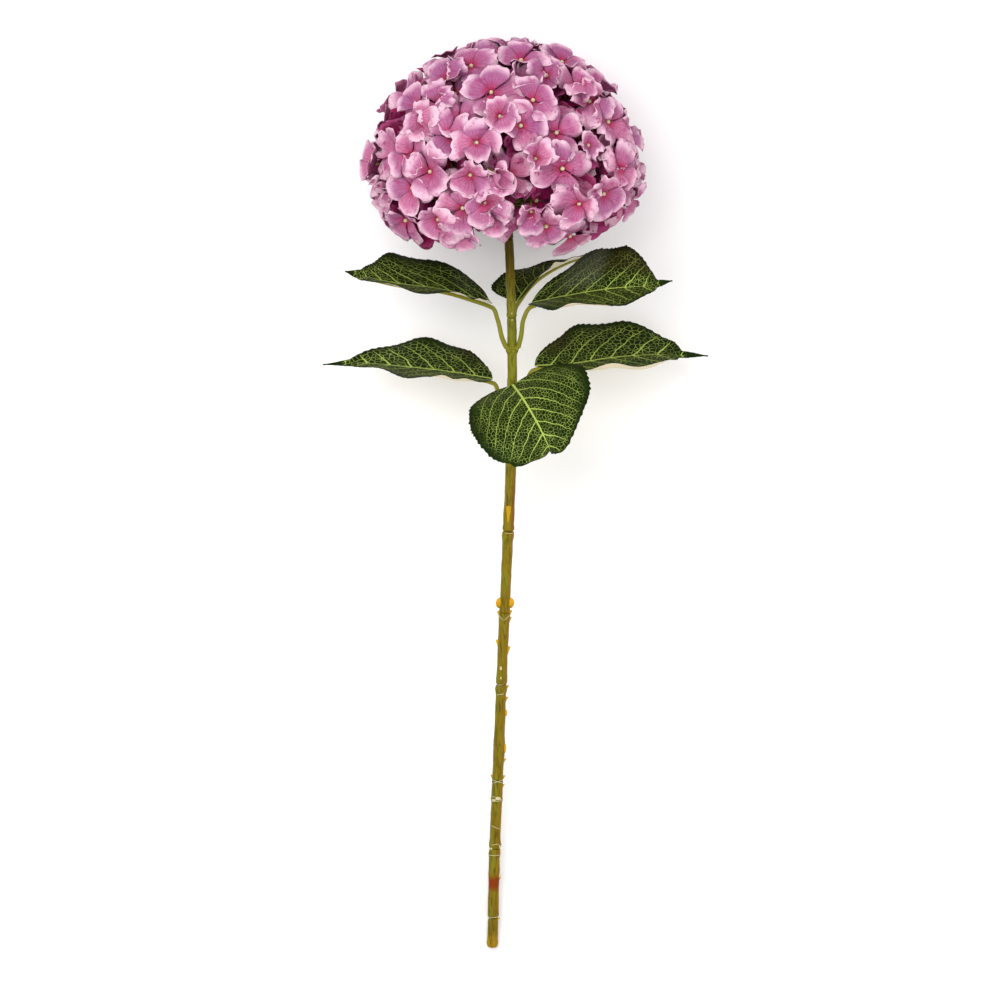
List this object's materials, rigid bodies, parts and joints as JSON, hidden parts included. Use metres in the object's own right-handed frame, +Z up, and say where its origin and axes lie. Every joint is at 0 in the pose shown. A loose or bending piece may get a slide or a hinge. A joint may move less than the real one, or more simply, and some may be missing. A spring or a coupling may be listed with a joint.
{
  "type": "artificial hydrangea stem",
  "caption": "Artificial hydrangea lying on its side: a domed mophead of pink fabric florets, toothed fabric leaves in two whorls, and a jointed plastic stem.",
  "frame": {"origin": "middle of the underside of the whole, on the surface that the stem lies on", "axes": "+Y along the stem from the cut end to the flower head, +X to the right seen from above with the head away, +Z up"},
  "size_m": [0.3094, 0.7296, 0.2101],
  "materials": {
    "petal_fabric": "matt printed polyester, pale edges with coral veins, shading to deep magenta inside the head",
    "leaf_fabric": "coated polyester with a soft sheen, dark green with a printed pale net of veins, cream underside",
    "stalk_plastic": "moulded yellow-olive plastic",
    "stem_plastic": "moulded olive plastic with orange-brown and reddish stains and pale glue at the joints",
    "wire_steel": "plain drawn steel"
  },
  "bodies": {
    "root": {"stem_end": "stem_plastic", "stem_sleeve_1": "stem_plastic", "stem_sleeve_2": "stem_plastic", "stem_sleeve_3": "stem_plastic", "stem_sleeve_4": "stem_plastic", "stem_sleeve_5": "stem_plastic", "stem_leaf_sleeve": "stem_plastic", "stem_neck_sleeve": "stem_plastic", "stem_collar": "stem_plastic", "stem_wire": "wire_steel", "flower_stalk": "stalk_plastic", "leaf_stalk_upper_left": "stalk_plastic", "leaf_upper_left": "leaf_fabric", "leaf_stalk_upper_right": "stalk_plastic", "leaf_upper_right": "leaf_fabric", "leaf_stalk_upper_back": "stalk_plastic", "leaf_upper_back": "leaf_fabric", "leaf_stalk_lower_left": "stalk_plastic", "leaf_lower_left": "leaf_fabric", "leaf_stalk_lower_right": "stalk_plastic", "leaf_lower_right": "leaf_fabric", "leaf_stalk_lower_front": "stalk_plastic", "leaf_lower_front": "leaf_fabric", "flower_head": "petal_fabric"}
  },
  "joints": []
}
